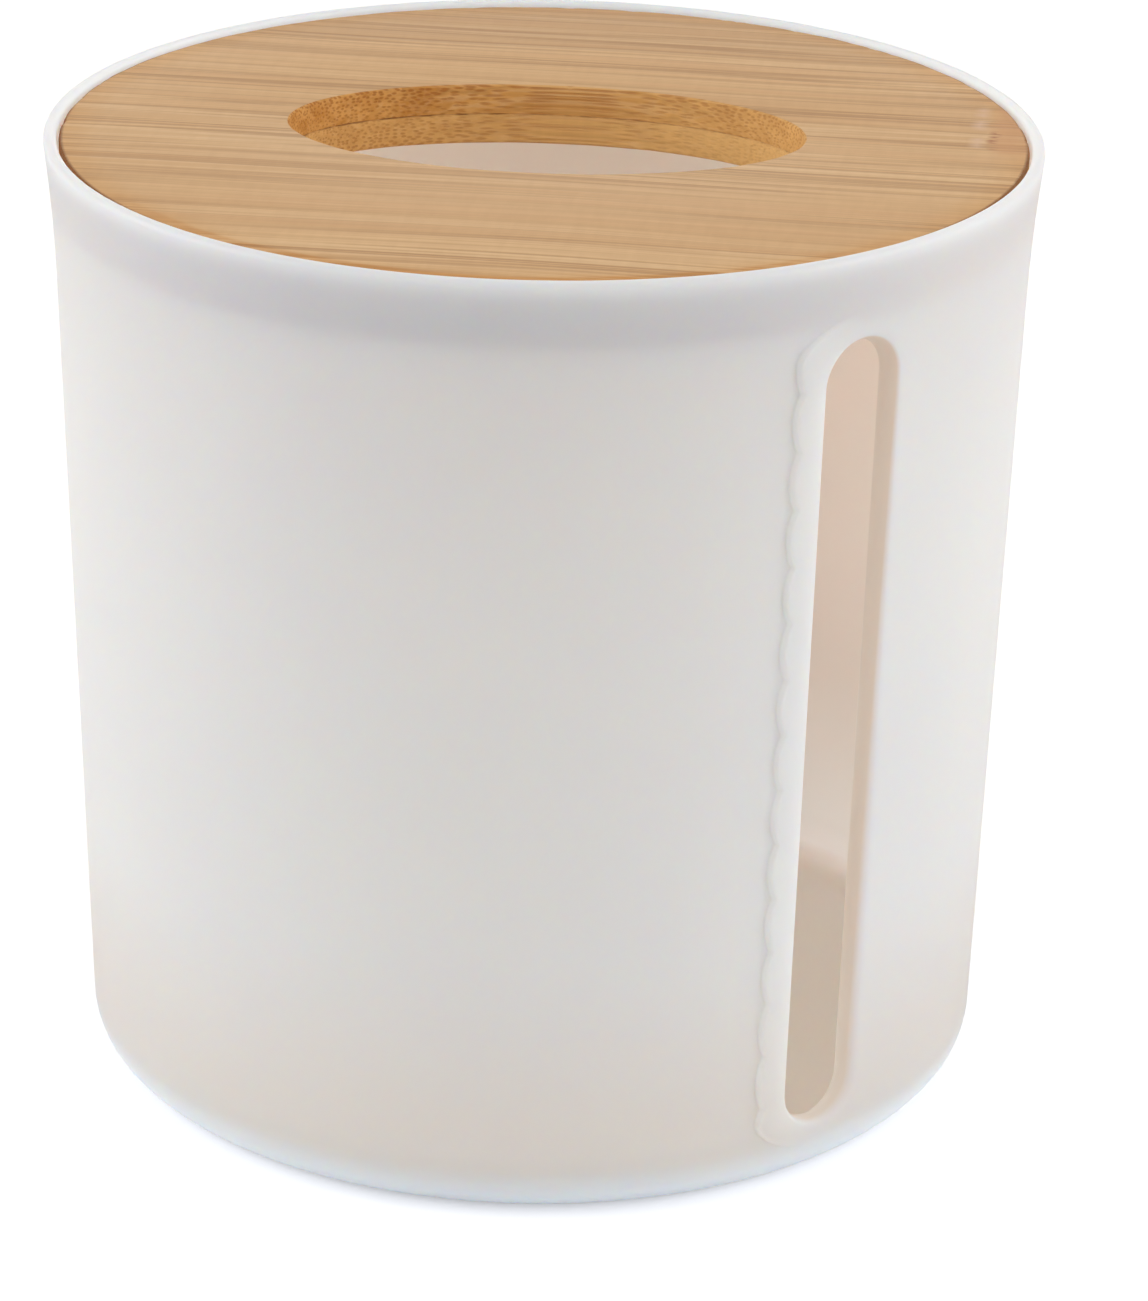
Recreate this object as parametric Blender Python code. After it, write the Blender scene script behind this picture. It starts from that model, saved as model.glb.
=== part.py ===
"""Toilet paper storage canister: a moulded cup with a dispensing slot, and a lid of two bamboo boards.

The cup stands on the table with its axis on Z and its dispensing slot facing -Y. Lengths are in metres.
"""
import math

import bmesh
import bpy

# Cup, outside
HEIGHT = 0.128
RIM_RADIUS = 0.065
RIM_THICKNESS = 0.0017
TAPER = 0.0035
FLARE = 0.00085
FLARE_HEIGHT = 0.0190
BASE_FILLET = 0.006

# Cup, inside
WALL = 0.0022
FLOOR = 0.0022
SEAT_WIDTH = 0.0021
SEAT_EDGE = 0.0008

# Cup, underside
FOOT_WIDTH = 0.005
FOOT_RECESS = 0.0008

# Dispensing slot, upright and centred on the side that faces -Y
SLOT_WIDTH = 0.0104
SLOT_BOTTOM = 0.0087
SLOT_TOP_MARGIN = 0.0116
SLOT_ROUND_RIGHT = 0.0018
SLOT_ROUND_LEFT = 0.0003
SLOT_ROUND_START = math.radians(22)

# Tear lip, raised along the slot's left side
LIP_RISE = 0.0008
LIP_EDGE_RISE = 0.0002
LIP_WIDTH = 0.0033
LIP_SINK = 0.0010
LIP_END_SINK = 0.0003
LOBE_DEPTH = 0.0009
LOBE_COUNT = 13
LOBE_MARGIN_BOTTOM = 0.0042
LOBE_MARGIN_TOP = 0.0051
LIP_OVER_TOP = 0.0036
LIP_UNDER_BOTTOM = 0.0034
LIP_RUN_OUT = 0.0010
LIP_CORNER_POWER = 1.2
LIP_CROWN_SHARES = (0.0, 0.25, 0.5, 0.75, 1.0, 1.25)

# Lid, two boards glued face to face
LID_THICKNESS = 0.0082
LID_DROP = 0.0007
LID_EDGE_CHAMFER = 0.0005
OPENING_LENGTH = 0.0676
OPENING_WIDTH = 0.0400
OPENING_OFFSET = 0.0021
OPENING_CHAMFER = 0.0004
LID_TURN = math.radians(-43.5)

# Clearances
LID_SIDE_GAP = 0.0003
TOUCH_GAP = 0.0003
CUT_OVERRUN = 0.003

# Facets
RING_SIDES = 96
FILLET_STEPS = 5
FLARE_STEPS = 4
RIM_STEPS = 8
SLOT_END_STEPS = 12
SLOT_SIDE_STEPS = 14
LOBE_STEPS = 6
LOBE_STEPS_BELOW = 2
LOBE_STEPS_ABOVE = 3
LIP_END_STEPS = 7

# Places that follow from the sizes above
WALL_TOP_RADIUS = RIM_RADIUS - FLARE
BORE_RADIUS = RIM_RADIUS - RIM_THICKNESS
LID_RADIUS = BORE_RADIUS - LID_SIDE_GAP
RIM_ROUND = RIM_THICKNESS / 2
FLARE_TOP = HEIGHT - RIM_ROUND
FLARE_BOTTOM = FLARE_TOP - FLARE_HEIGHT
LID_TOP = HEIGHT - LID_DROP
LID_BOTTOM = LID_TOP - LID_THICKNESS
SEAT_TOP = LID_BOTTOM - TOUCH_GAP
FLOOR_TOP = FOOT_RECESS + FLOOR
SLOT_HALF = SLOT_WIDTH / 2
SLOT_TOP = HEIGHT - SLOT_TOP_MARGIN
SLOT_LOW_CENTRE = SLOT_BOTTOM + SLOT_HALF
SLOT_HIGH_CENTRE = SLOT_TOP - SLOT_HALF


def remove_everything():
    for item in list(bpy.data.objects):
        bpy.data.objects.remove(item, do_unlink=True)


def material(name, colour, roughness):
    made = bpy.data.materials.new(name)
    made.use_nodes = True
    shader = made.node_tree.nodes["Principled BSDF"]
    shader.inputs["Base Color"].default_value = (*colour, 1.0)
    shader.inputs["Roughness"].default_value = roughness
    shader.inputs["Metallic"].default_value = 0.0
    return made


def add_object(name, points, faces, finish):
    mesh = bpy.data.meshes.new(name)
    mesh.from_pydata(points, [], faces)
    shaped = bmesh.new()
    shaped.from_mesh(mesh)
    bmesh.ops.recalc_face_normals(shaped, faces=shaped.faces)
    shaped.to_mesh(mesh)
    shaped.free()
    mesh.materials.append(finish)
    mesh.shade_smooth()
    mesh.set_sharp_from_angle(angle=math.radians(30))
    item = bpy.data.objects.new(name, mesh)
    bpy.context.scene.collection.objects.link(item)
    return item


def stack_rings(rings, ends):
    """Join rings of equal length into a skin whose ends stay open, are capped or are joined to each other."""
    size = len(rings[0])
    points = [point for ring in rings for point in ring]
    faces = []
    for level in range(len(rings) if ends == "joined" else len(rings) - 1):
        low = level * size
        high = (level + 1) % len(rings) * size
        for i in range(size):
            j = (i + 1) % size
            faces.append((low + i, low + j, high + j, high + i))
    if ends == "capped":
        faces.append(tuple(range(size))[::-1])
        faces.append(tuple(range(len(points) - size, len(points))))
    return points, faces


def arc(centre_r, centre_z, radius, start, end, steps):
    """Points of an arc in a turned profile, as (radius, height)."""
    return [(centre_r + radius * math.cos(start + (end - start) * i / steps),
             centre_z + radius * math.sin(start + (end - start) * i / steps))
            for i in range(steps + 1)]


# Shape of the cup's wall

def straight_radius(z):
    """Outer radius of the wall's straight, slightly tapered run."""
    return WALL_TOP_RADIUS - TAPER * (1.0 - z / FLARE_TOP)


def outer_radius(z):
    """Outer radius of the wall: the taper, with the outward flare below the rim."""
    flare_share = max(0.0, z - FLARE_BOTTOM) / FLARE_HEIGHT
    return straight_radius(z) + FLARE * flare_share ** 2


def inner_radius(z):
    return outer_radius(z) - WALL


def cup_profile():
    """Half section of the cup from the middle of its underside, round the rim, to the middle of its floor."""
    foot_outer = straight_radius(BASE_FILLET) - BASE_FILLET
    foot_inner = foot_outer - FOOT_WIDTH
    inner_fillet = BASE_FILLET - WALL
    seat_inner = BORE_RADIUS - SEAT_WIDTH
    seat_under = SEAT_TOP - SEAT_EDGE
    seat_root = seat_under - SEAT_WIDTH

    profile = [(0.0, FOOT_RECESS), (foot_inner - FOOT_RECESS, FOOT_RECESS), (foot_inner, 0.0)]
    profile += arc(foot_outer, BASE_FILLET, BASE_FILLET, -math.pi / 2, 0.0, FILLET_STEPS)
    for i in range(FLARE_STEPS):
        z = FLARE_BOTTOM + FLARE_HEIGHT * i / FLARE_STEPS
        profile.append((outer_radius(z), z))
    profile += arc(RIM_RADIUS - RIM_ROUND, FLARE_TOP, RIM_ROUND, 0.0, math.pi, RIM_STEPS)
    profile += [(BORE_RADIUS, SEAT_TOP), (seat_inner, SEAT_TOP), (seat_inner, seat_under)]
    profile += [(inner_radius(seat_root), seat_root), (inner_radius(FLARE_BOTTOM), FLARE_BOTTOM)]
    fillet_centre = inner_radius(FLOOR_TOP + inner_fillet) - inner_fillet
    profile += arc(fillet_centre, FLOOR_TOP + inner_fillet, inner_fillet, 0.0, -math.pi / 2, FILLET_STEPS)
    profile.append((0.0, FLOOR_TOP))
    return profile


def turned(name, profile, finish):
    """Turn a half section that starts and ends on the axis into a closed solid."""
    rings = [[(r * math.cos(turn), r * math.sin(turn), z)
              for turn in (2 * math.pi * i / RING_SIDES for i in range(RING_SIDES))]
             for r, z in profile[1:-1]]
    points, faces = stack_rings(rings, "open")
    last = len(points) - RING_SIDES
    points += [(0.0, 0.0, profile[0][1]), (0.0, 0.0, profile[-1][1])]
    for i in range(RING_SIDES):
        j = (i + 1) % RING_SIDES
        faces.append((j, i, len(points) - 2))
        faces.append((last + i, last + j, len(points) - 1))
    return add_object(name, points, faces, finish)


def on_wall(across, z, rise):
    """Place a point by its distance round the wall from the slot's middle, its height and its rise."""
    turn = across / outer_radius(z) - math.pi / 2
    reach = outer_radius(z) + rise
    return (reach * math.cos(turn), reach * math.sin(turn), z)


# Dispensing slot

def slot_outline():
    """Points round the slot, each with its outward direction, as (across, height, out_across, out_height)."""
    outline = []
    for centre, start in ((SLOT_HIGH_CENTRE, 0.0), (SLOT_LOW_CENTRE, math.pi)):
        for i in range(SLOT_END_STEPS + 1):
            angle = start + math.pi * i / SLOT_END_STEPS
            out = (math.cos(angle), math.sin(angle))
            outline.append((SLOT_HALF * out[0], centre + SLOT_HALF * out[1], *out))
        side = -SLOT_HALF if start == 0.0 else SLOT_HALF
        end = SLOT_LOW_CENTRE if start == 0.0 else SLOT_HIGH_CENTRE
        for i in range(1, SLOT_SIDE_STEPS):
            z = centre + (end - centre) * i / SLOT_SIDE_STEPS
            outline.append((side, z, math.copysign(1.0, side), 0.0))
    return outline


def slot_ring(angle, extra_depth, extra_spread):
    """One ring of the slot's cutter. The angle runs from 90 degrees, straight through, to the rounded edge."""
    ring = []
    for across, z, out_across, out_z in slot_outline():
        right_share = (1.0 + out_across) / 2
        rounding = SLOT_ROUND_LEFT + (SLOT_ROUND_RIGHT - SLOT_ROUND_LEFT) * right_share
        spread = rounding * (1.0 - math.sin(angle)) + extra_spread * right_share
        depth = rounding * (1.0 - math.cos(angle)) + extra_depth
        rise = LIP_EDGE_RISE * (1.0 - right_share) - depth
        ring.append(on_wall(across + out_across * spread, z + out_z * spread, rise))
    return ring


def slot_cutter(finish):
    """Solid that cuts the slot: straight through the wall, and rounded outwards at the outer face."""
    straight = math.pi / 2
    rings = [slot_ring(straight, WALL + SEAT_WIDTH + CUT_OVERRUN, 0.0)]
    for i in range(FILLET_STEPS + 1):
        rings.append(slot_ring(straight + (SLOT_ROUND_START - straight) * i / FILLET_STEPS, 0.0, 0.0))
    rings.append(slot_ring(SLOT_ROUND_START, -CUT_OVERRUN, CUT_OVERRUN))
    points, faces = stack_rings(rings, "capped")
    return hide_cutter(add_object("slot_cutter", points, faces, finish))


def hide_cutter(item):
    item.hide_render = True
    item.display_type = "WIRE"
    return item


# Tear lip

def lobe_reach(from_cusp, pitch):
    """How far the edge stands out past the cusps, by height over a cusp: arcs that meet in cusps."""
    half_chord = pitch / 2
    radius = (half_chord ** 2 + LOBE_DEPTH ** 2) / (2 * LOBE_DEPTH)
    from_middle = from_cusp % pitch - half_chord
    return math.sqrt(radius ** 2 - from_middle ** 2) - (radius - LOBE_DEPTH)


def lip_end(start, end, backwards):
    """Full corner from the last lobe to the lip's end over or under the slot, as (across, height, height share)."""
    corner = []
    for i in range(1, LIP_END_STEPS + 1):
        share = i / LIP_END_STEPS
        turn = share * math.pi / 2
        across = end[0] + (start[0] - end[0]) * math.cos(turn) ** LIP_CORNER_POWER
        z = start[1] + (end[1] - start[1]) * math.sin(turn) ** LIP_CORNER_POWER
        corner.append((across, z, 1.0 - share ** 2))
    return corner[::-1] if backwards else corner


def lip_edge():
    """The lip's outer edge from its lower end to its upper end, as (across, height, height share)."""
    first_cusp = SLOT_BOTTOM + LOBE_MARGIN_BOTTOM
    last_cusp = SLOT_TOP - LOBE_MARGIN_TOP
    pitch = (last_cusp - first_cusp) / LOBE_COUNT
    side = []
    for i in range(-LOBE_STEPS_BELOW, LOBE_COUNT * LOBE_STEPS + LOBE_STEPS_ABOVE + 1):
        over_cusp = pitch * i / LOBE_STEPS
        across = -(SLOT_HALF + LIP_WIDTH + lobe_reach(over_cusp, pitch))
        side.append((across, first_cusp + over_cusp, 1.0))
    low = lip_end(side[0], (LIP_RUN_OUT, SLOT_BOTTOM - LIP_UNDER_BOTTOM), True)
    high = lip_end(side[-1], (LIP_RUN_OUT, SLOT_TOP + LIP_OVER_TOP), False)
    return low + side + high


def lip_section(outer, slot_edge, height_share):
    """Closed section across the lip: a step up on the outside, then a crowned slope down to the slot."""
    section = [on_wall(*outer, -LIP_SINK)]
    for share in LIP_CROWN_SHARES:
        across = outer[0] + (slot_edge[0] - outer[0]) * share
        z = outer[1] + (slot_edge[1] - outer[1]) * share
        crown = LIP_EDGE_RISE + (LIP_RISE - LIP_EDGE_RISE) * (1.0 - share ** 2)
        section.append(on_wall(across, z, crown * height_share - LIP_END_SINK * (1.0 - height_share)))
    section.append(on_wall(across, z, -LIP_SINK))
    return section


def slot_edge_beside(edge, i):
    """The point on the slot's left edge that faces a point of the lip's outer edge."""
    beside_slot = [j for j, point in enumerate(edge) if SLOT_LOW_CENTRE <= point[1] <= SLOT_HIGH_CENTRE]
    first = beside_slot[0]
    last = beside_slot[-1]
    if i < first:
        centre = SLOT_LOW_CENTRE
        turn = math.pi + math.pi / 2 * (first - i) / first
    elif i > last:
        centre = SLOT_HIGH_CENTRE
        turn = math.pi - math.pi / 2 * (i - last) / (len(edge) - 1 - last)
    else:
        return (-SLOT_HALF, edge[i][1])
    return (SLOT_HALF * math.cos(turn), centre + SLOT_HALF * math.sin(turn))


def tear_lip(finish):
    """The lip as a solid sunk into the wall. Its slope runs on into the slot, whose cut trims it."""
    edge = lip_edge()
    sections = [lip_section((across, z), slot_edge_beside(edge, i), height_share)
                for i, (across, z, height_share) in enumerate(edge)]
    points, faces = stack_rings(sections, "capped")
    return hide_cutter(add_object("tear_lip_form", points, faces, finish))


def add_boolean(item, tool, operation):
    step = item.modifiers.new(tool.name, "BOOLEAN")
    step.operation = operation
    step.solver = "EXACT"
    step.object = tool


def canister_body(finish):
    body = turned("canister_body", cup_profile(), finish)
    add_boolean(body, tear_lip(finish), "UNION")
    add_boolean(body, slot_cutter(finish), "DIFFERENCE")
    return body


# Lid

def oval(half_length, half_width, z):
    return [(half_length * math.cos(turn), OPENING_OFFSET + half_width * math.sin(turn), z)
            for turn in (2 * math.pi * i / RING_SIDES for i in range(RING_SIDES))]


def circle(radius, z):
    return [(radius * math.cos(turn), radius * math.sin(turn), z)
            for turn in (2 * math.pi * i / RING_SIDES for i in range(RING_SIDES))]


def lid_ply(name, show_face, glue_face, finish):
    """One board of the lid, from its glued face to the face that shows, whose edges are chamfered."""
    outward = math.copysign(1.0, show_face - glue_face)
    half_length = OPENING_LENGTH / 2
    half_width = OPENING_WIDTH / 2
    rings = [
        oval(half_length, half_width, glue_face),
        circle(LID_RADIUS, glue_face),
        circle(LID_RADIUS, show_face - outward * LID_EDGE_CHAMFER),
        circle(LID_RADIUS - LID_EDGE_CHAMFER, show_face),
        oval(half_length + OPENING_CHAMFER, half_width + OPENING_CHAMFER, show_face),
        oval(half_length, half_width, show_face - outward * OPENING_CHAMFER),
    ]
    ply = add_object(name, *stack_rings(rings, "joined"), finish)
    ply.location = (0.0, 0.0, LID_BOTTOM)
    ply.rotation_euler = (0.0, 0.0, LID_TURN)
    return ply


def lid(finish):
    middle = LID_THICKNESS / 2
    lid_ply("lid_top_ply", LID_THICKNESS, middle + TOUCH_GAP / 2, finish)
    lid_ply("lid_bottom_ply", 0.0, middle - TOUCH_GAP / 2, finish)


def main():
    remove_everything()
    white_plastic = material("white_plastic", (0.80, 0.80, 0.80), 0.42)
    bamboo = material("bamboo", (0.58, 0.38, 0.21), 0.5)
    canister_body(white_plastic)
    lid(bamboo)


main()
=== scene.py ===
"""Looks of the toilet paper storage canister: meshes, materials, light and camera round the CAD frame.

Lengths are in metres. The dispensing slot faces -Y, and the cup's axis is Z.
"""
import math

import bmesh
import bpy
import numpy as np
from mathutils import Matrix, Vector


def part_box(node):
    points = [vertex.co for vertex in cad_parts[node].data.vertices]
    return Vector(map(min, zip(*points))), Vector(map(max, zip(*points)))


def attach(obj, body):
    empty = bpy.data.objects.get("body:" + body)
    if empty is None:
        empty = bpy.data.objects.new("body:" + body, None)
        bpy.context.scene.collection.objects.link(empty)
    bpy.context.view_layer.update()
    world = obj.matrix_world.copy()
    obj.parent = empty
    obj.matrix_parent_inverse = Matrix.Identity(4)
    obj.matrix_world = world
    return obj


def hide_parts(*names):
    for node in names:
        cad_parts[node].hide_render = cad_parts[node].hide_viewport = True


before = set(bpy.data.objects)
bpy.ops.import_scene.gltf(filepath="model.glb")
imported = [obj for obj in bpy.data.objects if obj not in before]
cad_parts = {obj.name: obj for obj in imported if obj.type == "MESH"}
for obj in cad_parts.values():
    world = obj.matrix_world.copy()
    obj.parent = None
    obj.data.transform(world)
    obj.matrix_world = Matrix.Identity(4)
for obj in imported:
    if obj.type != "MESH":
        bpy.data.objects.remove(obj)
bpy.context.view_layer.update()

# Cup's height and rim, from the frame
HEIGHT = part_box("canister_body")[1].z
RIM_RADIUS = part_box("canister_body")[1].x

# Cup
RIM_THICKNESS = 0.0017
TAPER = 0.0035
FLARE = 0.00085
FLARE_HEIGHT = 0.0190
BASE_FILLET = 0.006
WALL = 0.0022
FLOOR = 0.0022
SEAT_WIDTH = 0.0021
SEAT_EDGE = 0.0008
SEAT_ROUND = 0.0002
FOOT_WIDTH = 0.005
FOOT_RECESS = 0.0008
FOOT_ROUND = 0.0004
GATE_RADIUS = 0.002
GATE_DEPTH = 0.0003

# Dispensing slot
SLOT_WIDTH = 0.0104
SLOT_BOTTOM = 0.0087
SLOT_TOP_MARGIN = 0.0116
SLOT_ROUND_RIGHT = 0.0018
SLOT_ROUND_RIGHT_ACROSS = 0.0026
SLOT_ROUND_LEFT = 0.0003
SLOT_ROUND_INSIDE = 0.0002

# Tear lip
LIP_RISE = 0.0008
LIP_EDGE_RISE = 0.0002
LIP_WIDTH = 0.0033
LIP_STEP_WIDTH = 0.0006
LOBE_DEPTH = 0.0009
LOBE_COUNT = 13
LOBE_MARGIN_BOTTOM = 0.0042
LOBE_MARGIN_TOP = 0.0051
LIP_OVER_TOP = 0.0036
LIP_UNDER_BOTTOM = 0.0034
LIP_CORNER_POWER = 1.2
LIP_CUSP_DROP_SHARE = 0.15

# Window of the wall round the slot, where the mesh runs in rings round the slot
WINDOW_HALF_ANGLE = math.radians(13)
WINDOW_LOW = 0.0036
WINDOW_HIGH = 0.1245
INNER_MARGIN = 0.0002

# Clearance
TOUCH_GAP = 0.0003

# Lid
LID_GLUE_GROOVE = 0.00007
LID_GLUE_GAP = 0.00002
LID_EDGE_CHAMFER = 0.0005
OPENING_LENGTH = 0.0676
OPENING_WIDTH = 0.0400
OPENING_OFFSET = 0.0021
OPENING_CHAMFER = 0.0004
LID_TURN = math.radians(-43.5)
GRAIN_TURN = math.radians(-45.5)

# Places that follow
BORE_RADIUS = RIM_RADIUS - RIM_THICKNESS
WALL_TOP_RADIUS = RIM_RADIUS - FLARE
RIM_ROUND = RIM_THICKNESS / 2
FLARE_TOP = HEIGHT - RIM_ROUND
FLARE_BOTTOM = FLARE_TOP - FLARE_HEIGHT
LID_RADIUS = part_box("lid_top_ply")[1].x
LID_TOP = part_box("lid_top_ply")[1].z
LID_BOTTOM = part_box("lid_bottom_ply")[0].z
LID_GLUE_LINE = (LID_TOP + LID_BOTTOM) / 2
SEAT_TOP = LID_BOTTOM - TOUCH_GAP
FLOOR_TOP = FOOT_RECESS + FLOOR
SLOT_HALF = SLOT_WIDTH / 2
SLOT_TOP = HEIGHT - SLOT_TOP_MARGIN
SLOT_LOW_CENTRE = SLOT_BOTTOM + SLOT_HALF
SLOT_HIGH_CENTRE = SLOT_TOP - SLOT_HALF
INNER_FILLET = BASE_FILLET - WALL

# Mesh density
LOBE_STEPS = 14
WINDOW_COLUMNS = 12
WINDOW_END_ROWS = 8
ROUND_COLUMNS = 150
COLUMN_GRADING_SHARE = 0.5
ROW_STEP = 7
ROUNDING_STEPS = 6
CROWN_STEPS = 9
STEP_STEPS = 6
OUTER_RINGS = 9
INNER_RINGS = 7
INNER_ROUNDING_STEPS = 3
FILLET_STEPS = 10
RIM_STEPS = 12
CORNER_STEPS = 3
LID_SIDES = 720
RING_GRADING = 1.5
CUT_FACE_SHARES = (0.15, 0.5, 0.85)
FLOOR_RING_SHARES = (0.97, 0.85, 0.65, 0.45, 0.25, 0.1)
UNDERSIDE_RING_SHARES = (0.2, 0.5, 0.8)
BOARD_SHARP_ANGLE = math.radians(24)

# Eased edge of a board, from its wall to its face, as shares of the chamfer inwards and down
EDGE_SHARES = ((0.0, 1.0), (0.12, 0.58), (0.58, 0.12), (1.0, 0.0))

# Wear of that edge at the rim and at the opening: waves in a turn, their depth as a share of the chamfer,
# how many splinters are missing, and the largest one's depth as such a share
RIM_WEAR = ((3, 7, 13, 29, 47), 0.16, 26, 0.7)
OPENING_WEAR = ((2, 5, 11, 23), 0.14, 10, 0.5)

# Camera. The photograph's frame is 1148 by 1301 pixels, and the slot lies to the right of its line of sight
PHOTO_HEIGHT = 1301
FOCAL_PIXELS = 4834.7
CENTRE_RIGHT_PIXELS = 0.54
CENTRE_DOWN_PIXELS = 5.31
SENSOR = 36.0
CAMERA_TURN = math.radians(-37.6)
CAMERA_DISTANCE = 0.60748
CAMERA_HEIGHT = 0.30589
CAMERA_PITCH = 0.3937
CAMERA_YAW = 0.0085
CAMERA_ROLL = 0.0189

# Floor. What it adds to reach white, near the object and far from it, where less light falls
FLOOR_HALF = 4.0
FLOOR_GLOW = 0.35
FLOOR_GLOW_AWAY = 0.72
GLOW_NEAR = 0.5
GLOW_AWAY = 2.0

# Light
WORLD_LIGHT = 0.4
# Soft boxes: azimuth from the camera's to the right and elevation in degrees, distance, width, height,
# radiance
SOFT_BOXES = {
    "left_box": (-90, 20, 1.1, 1.0, 1.0, 2.48),
    "right_box": (90, 20, 1.1, 1.0, 1.0, 1.69),
    "right_front_box": (60, 20, 1.1, 1.0, 1.0, 0.75),
    "top_box": (0, 86, 1.1, 1.0, 1.0, 0.50),
    "front_box": (0, 28, 1.6, 1.0, 0.8, 0.72),
    "back_box": (180, 45, 1.2, 1.0, 1.0, 0.25),
}


class Skin:
    """A mesh gathered ring by ring."""

    def __init__(self):
        self.points = []
        self.faces = []

    def add(self, points):
        first = len(self.points)
        self.points.extend(tuple(p) for p in points)
        return list(range(first, len(self.points)))

    def join(self, low, high, closed=True):
        count = len(low)
        for i in range(count if closed else count - 1):
            j = (i + 1) % count
            self.faces.append((low[i], low[j], high[j], high[i]))

    def join_all(self, rings, closed=True):
        for low, high in zip(rings[:-1], rings[1:]):
            self.join(low, high, closed)

    def fan(self, ring, point):
        centre = self.add([point])[0]
        for i, index in enumerate(ring):
            self.faces.append((index, ring[(i + 1) % len(ring)], centre))

    def build(self, name):
        mesh = bpy.data.meshes.new(name)
        mesh.from_pydata(self.points, [], self.faces)
        tidy = bmesh.new()
        tidy.from_mesh(mesh)
        bmesh.ops.recalc_face_normals(tidy, faces=tidy.faces)
        tidy.to_mesh(mesh)
        tidy.free()
        mesh.shade_smooth()
        item = bpy.data.objects.new(name, mesh)
        bpy.context.scene.collection.objects.link(item)
        return item


def smooth_step(share):
    return share * share * (3.0 - 2.0 * share)


# Wall of the cup

def outer_radius(z):
    z = np.asarray(z, float)
    flare_share = np.maximum(0.0, z - FLARE_BOTTOM) / FLARE_HEIGHT
    return WALL_TOP_RADIUS - TAPER * (1.0 - z / FLARE_TOP) + FLARE * flare_share ** 2


def outer_slope(z):
    flare_share = np.maximum(0.0, np.asarray(z, float) - FLARE_BOTTOM) / FLARE_HEIGHT
    return TAPER / FLARE_TOP + 2.0 * FLARE * flare_share / FLARE_HEIGHT


def inner_radius(z):
    """Inner radius of the wall, with the slope under the lid's seat."""
    plain = outer_radius(z) - WALL
    seat_root = SEAT_TOP - SEAT_EDGE - SEAT_WIDTH
    share = np.clip((np.asarray(z, float) - seat_root) / SEAT_WIDTH, 0.0, 1.0)
    seat_inner = BORE_RADIUS - SEAT_WIDTH
    return plain + (seat_inner - plain) * smooth_step(share)


def at_angle(radius, angle, z):
    """Point at an angle round the axis, counted from the slot's middle."""
    radius, angle, z = np.broadcast_arrays(radius, angle, z)
    return np.stack([radius * np.sin(angle), -radius * np.cos(angle), z], -1)


def on_wall(angle, up, rise=0.0):
    """Point of the outer wall. Below the base fillet's top, `up` runs on round the fillet."""
    up = np.asarray(up, float)
    level = np.maximum(up, BASE_FILLET)
    turn = np.maximum(0.0, BASE_FILLET - up) / BASE_FILLET
    slope = outer_slope(level)
    lean = 1.0 / np.sqrt(1.0 + slope ** 2)
    in_fillet = up < BASE_FILLET
    out_r = np.where(in_fillet, np.cos(turn), lean)
    out_z = np.where(in_fillet, -np.sin(turn), -slope * lean)
    radius = outer_radius(level) - BASE_FILLET * (1.0 - np.cos(turn)) + rise * out_r
    return at_angle(radius, angle, level - BASE_FILLET * np.sin(turn) + rise * out_z)


def inside_wall(angle, up):
    return at_angle(inner_radius(up), angle, up)


# Slot and tear lip, as curves from the slot's lowest point round its left side to its highest point

FIRST_CUSP = SLOT_BOTTOM + LOBE_MARGIN_BOTTOM
LAST_CUSP = SLOT_TOP - LOBE_MARGIN_TOP
LOBE_PITCH = (LAST_CUSP - FIRST_CUSP) / LOBE_COUNT
ROWS_BELOW_LOBES = LOBE_STEPS // 3
ROWS_ABOVE_LOBES = LOBE_STEPS // 2
END_SPOKES = WINDOW_COLUMNS + WINDOW_END_ROWS


def side_rows():
    steps = np.arange(-ROWS_BELOW_LOBES, LOBE_COUNT * LOBE_STEPS + ROWS_ABOVE_LOBES + 1)
    return FIRST_CUSP + LOBE_PITCH * steps / LOBE_STEPS


def lobe_share(up):
    """Place within a lobe, from 0 at one cusp to 1 at the next."""
    return ((up - FIRST_CUSP) / LOBE_PITCH + 1e-9) % 1.0


def lobe_reach(up):
    half_chord = LOBE_PITCH / 2
    radius = (half_chord ** 2 + LOBE_DEPTH ** 2) / (2 * LOBE_DEPTH)
    from_middle = (lobe_share(up) - 0.5) * LOBE_PITCH
    return np.sqrt(radius ** 2 - from_middle ** 2) - (radius - LOBE_DEPTH)


def slot_curve(rows):
    """The slot's left half as (across, up, out_across, out_up)."""
    count = len(rows) + 2 * END_SPOKES
    ups = np.concatenate([np.full(END_SPOKES, -1.0), rows, np.full(END_SPOKES, 1.0)])
    straight = (ups >= SLOT_LOW_CENTRE) & (ups <= SLOT_HIGH_CENTRE)
    first = int(np.argmax(straight))
    last = count - 1 - int(np.argmax(straight[::-1]))
    index = np.arange(count)
    turn = np.full(count, math.pi)
    turn = np.where(index < first, math.pi + math.pi / 2 * (first - index) / first, turn)
    turn = np.where(index > last, math.pi - math.pi / 2 * (index - last) / (count - 1 - last), turn)
    centre = np.where(index < first, SLOT_LOW_CENTRE, np.where(index > last, SLOT_HIGH_CENTRE, ups))
    out_across = np.cos(turn)
    out_up = np.sin(turn)
    return np.stack([SLOT_HALF * out_across, centre + SLOT_HALF * out_up, out_across, out_up], 1)


def lip_curve(rows):
    """The lip's outer edge as (across, up, height share)."""
    side = np.stack([-(SLOT_HALF + LIP_WIDTH + lobe_reach(rows)), rows, np.ones(len(rows))], 1)
    ends = []
    for start, end_up in ((side[0], SLOT_BOTTOM - LIP_UNDER_BOTTOM), (side[-1], SLOT_TOP + LIP_OVER_TOP)):
        share = np.arange(1, END_SPOKES + 1) / END_SPOKES
        turn = share * math.pi / 2
        across = start[0] * np.maximum(0.0, np.cos(turn)) ** LIP_CORNER_POWER
        up = start[1] + (end_up - start[1]) * np.sin(turn) ** LIP_CORNER_POWER
        ends.append(np.stack([across, up, 1.0 - smooth_step(share)], 1))
    return np.concatenate([ends[0][::-1], side, ends[1]])


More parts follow.
